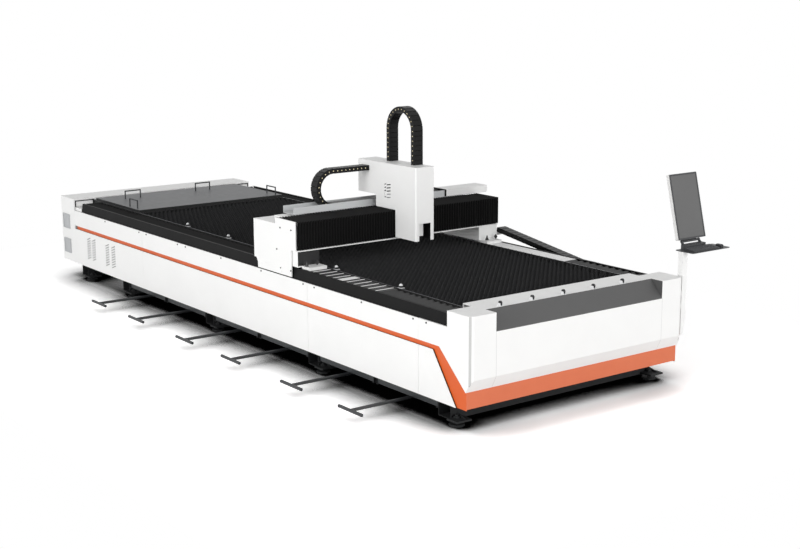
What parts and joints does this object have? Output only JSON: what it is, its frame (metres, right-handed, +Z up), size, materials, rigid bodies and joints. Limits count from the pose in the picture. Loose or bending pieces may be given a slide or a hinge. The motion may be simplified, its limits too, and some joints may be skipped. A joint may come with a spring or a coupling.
{
  "type": "fiber laser cutting machine",
  "caption": "Open flat-bed laser sheet cutter: long slatted bed, gantry with a head carriage, cable chains, scrap drawers and an operator console.",
  "frame": {"origin": "on the floor, under the middle of the whole machine's bounding box, drawer handles and console included", "axes": "+X along the bed towards the loading end, -Y the side the scrap drawers pull out to, +Z up"},
  "size_m": [7.182, 3.194, 2.135],
  "materials": {
    "white_paint": "satin",
    "orange_paint": "satin",
    "black_paint": "matt",
    "frame_paint": "matt",
    "grey_paint": "satin",
    "slope_paint": "satin",
    "raw_steel": "dull, scaled",
    "rail_steel": "ground",
    "zinc": "satin",
    "bellows_cloth": "matt",
    "chain_plastic": "matt",
    "handle_steel": "satin",
    "head_metal": "anodised",
    "copper": "polished",
    "screen_plastic": "gloss",
    "key_plastic": "matt",
    "motor_black": "satin",
    "wheel_plastic": "matt"
  },
  "bodies": {
    "bed": {"bed_frame": "frame_paint", "levelling_feet": "zinc", "travel_rails": "rail_steel", "gear_racks": "rail_steel", "trough_covers": "black_paint", "slat_rims": "black_paint", "cutting_slats": "raw_steel", "side_panels_upper_left": "white_paint", "side_panels_upper_right": "white_paint", "side_panels_lower_left": "white_paint", "side_panels_lower_right": "white_paint", "accent_band": "orange_paint", "front_end_cover": "white_paint", "front_slope_plate": "slope_paint", "far_end_cover": "white_paint", "compartment_lid": "grey_paint", "lift_handles": "handle_steel", "roller_brackets": "zinc", "drawer_runners": "frame_paint", "x_chain_tray": "white_paint", "x_chain_low_run": "chain_plastic", "console_column": "white_paint", "keyboard_tray": "white_paint", "keyboard": "key_plastic", "mouse": "key_plastic", "rail_bellows_front": "bellows_cloth", "rail_bellows_rear": "bellows_cloth"},
    "gantry": {"gantry_beam": "white_paint", "gantry_end_cover_left": "white_paint", "gantry_end_cover_right": "white_paint", "gantry_feet": "white_paint", "x_drive_motors": "motor_black", "y_rails": "rail_steel", "beam_bellows_left": "bellows_cloth", "beam_bellows_right": "bellows_cloth", "y_chain_tray": "grey_paint", "y_chain_cover": "white_paint", "y_chain_low_run": "chain_plastic", "x_chain_top_run": "chain_plastic"},
    "carriage": {"carriage_plate": "zinc", "head_housing": "white_paint", "y_chain_top_run": "chain_plastic"},
    "laser_head": {"laser_head_body": "head_metal", "cutting_nozzle": "copper", "head_cover": "white_paint"},
    "x_chain_loop": {"x_chain_bend": "chain_plastic"},
    "y_chain_loop": {"y_chain_bend": "chain_plastic"},
    "z_chain": {"z_chain_loop": "chain_plastic"},
    "drawer_1": {"scrap_drawer_1": "black_paint"},
    "drawer_2": {"scrap_drawer_2": "black_paint"},
    "drawer_3": {"scrap_drawer_3": "black_paint"},
    "drawer_4": {"scrap_drawer_4": "black_paint"},
    "drawer_5": {"scrap_drawer_5": "black_paint"},
    "drawer_6": {"scrap_drawer_6": "black_paint"},
    "roller_1": {"loading_roller_1": "wheel_plastic"},
    "roller_2": {"loading_roller_2": "wheel_plastic"},
    "roller_3": {"loading_roller_3": "wheel_plastic"},
    "roller_4": {"loading_roller_4": "wheel_plastic"},
    "roller_5": {"loading_roller_5": "wheel_plastic"},
    "screen": {"monitor": "screen_plastic"}
  },
  "joints": [
    {"name": "gantry_travel", "type": "slide", "parent": "bed", "child": "gantry", "axis": [1, 0, 0], "range_m": [-2.85, 1.65], "deforming": ["rail_bellows_front", "rail_bellows_rear", "x_chain_low_run", "x_chain_top_run"]},
    {"name": "carriage_travel", "type": "slide", "parent": "gantry", "child": "carriage", "axis": [0, 1, 0], "range_m": [-0.74, 0.75], "deforming": ["beam_bellows_left", "beam_bellows_right", "y_chain_low_run", "y_chain_top_run"]},
    {"name": "head_feed", "type": "slide", "parent": "carriage", "child": "laser_head", "axis": [0, 0, 1], "range_m": [-0.08, 0.05]},
    {"name": "x_chain_roll", "type": "slide", "parent": "gantry", "child": "x_chain_loop", "axis": [1, 0, 0], "range_m": [-0.825, 1.425]},
    {"name": "y_chain_roll", "type": "slide", "parent": "carriage", "child": "y_chain_loop", "axis": [0, 1, 0], "range_m": [-0.375, 0.37]},
    {"name": "z_chain_roll", "type": "slide", "parent": "carriage", "child": "z_chain", "axis": [0, 0, 1], "range_m": [-0.04, 0.025]},
    {"name": "drawer_slide_1", "type": "slide", "parent": "bed", "child": "drawer_1", "axis": [0, -1, 0], "range_m": [0, 1.2]},
    {"name": "drawer_slide_2", "type": "slide", "parent": "bed", "child": "drawer_2", "axis": [0, -1, 0], "range_m": [0, 1.2]},
    {"name": "drawer_slide_3", "type": "slide", "parent": "bed", "child": "drawer_3", "axis": [0, -1, 0], "range_m": [0, 1.2]},
    {"name": "drawer_slide_4", "type": "slide", "parent": "bed", "child": "drawer_4", "axis": [0, -1, 0], "range_m": [0, 1.2]},
    {"name": "drawer_slide_5", "type": "slide", "parent": "bed", "child": "drawer_5", "axis": [0, -1, 0], "range_m": [0, 1.2]},
    {"name": "drawer_slide_6", "type": "slide", "parent": "bed", "child": "drawer_6", "axis": [0, -1, 0], "range_m": [0, 1.2]},
    {"name": "roller_spin_1", "type": "hinge", "parent": "bed", "child": "roller_1", "pos_m": [3.413, -0.707, 0.902], "axis": [0, 1, 0], "continuous": true},
    {"name": "roller_spin_2", "type": "hinge", "parent": "bed", "child": "roller_2", "pos_m": [3.413, -0.394, 0.902], "axis": [0, 1, 0], "continuous": true},
    {"name": "roller_spin_3", "type": "hinge", "parent": "bed", "child": "roller_3", "pos_m": [3.413, -0.081, 0.902], "axis": [0, 1, 0], "continuous": true},
    {"name": "roller_spin_4", "type": "hinge", "parent": "bed", "child": "roller_4", "pos_m": [3.413, 0.232, 0.902], "axis": [0, 1, 0], "continuous": true},
    {"name": "roller_spin_5", "type": "hinge", "parent": "bed", "child": "roller_5", "pos_m": [3.413, 0.545, 0.902], "axis": [0, 1, 0], "continuous": true},
    {"name": "monitor_tilt", "type": "hinge", "parent": "bed", "child": "screen", "pos_m": [3.396, 1.339, 1.128], "axis": [0, 1, 0], "range_deg": [-10, 20]}
  ],
  "couplings": [
    {"joint": "x_chain_roll", "follows": "gantry_travel", "ratio": -0.5},
    {"joint": "y_chain_roll", "follows": "carriage_travel", "ratio": -0.5},
    {"joint": "z_chain_roll", "follows": "head_feed", "ratio": 0.5}
  ]
}
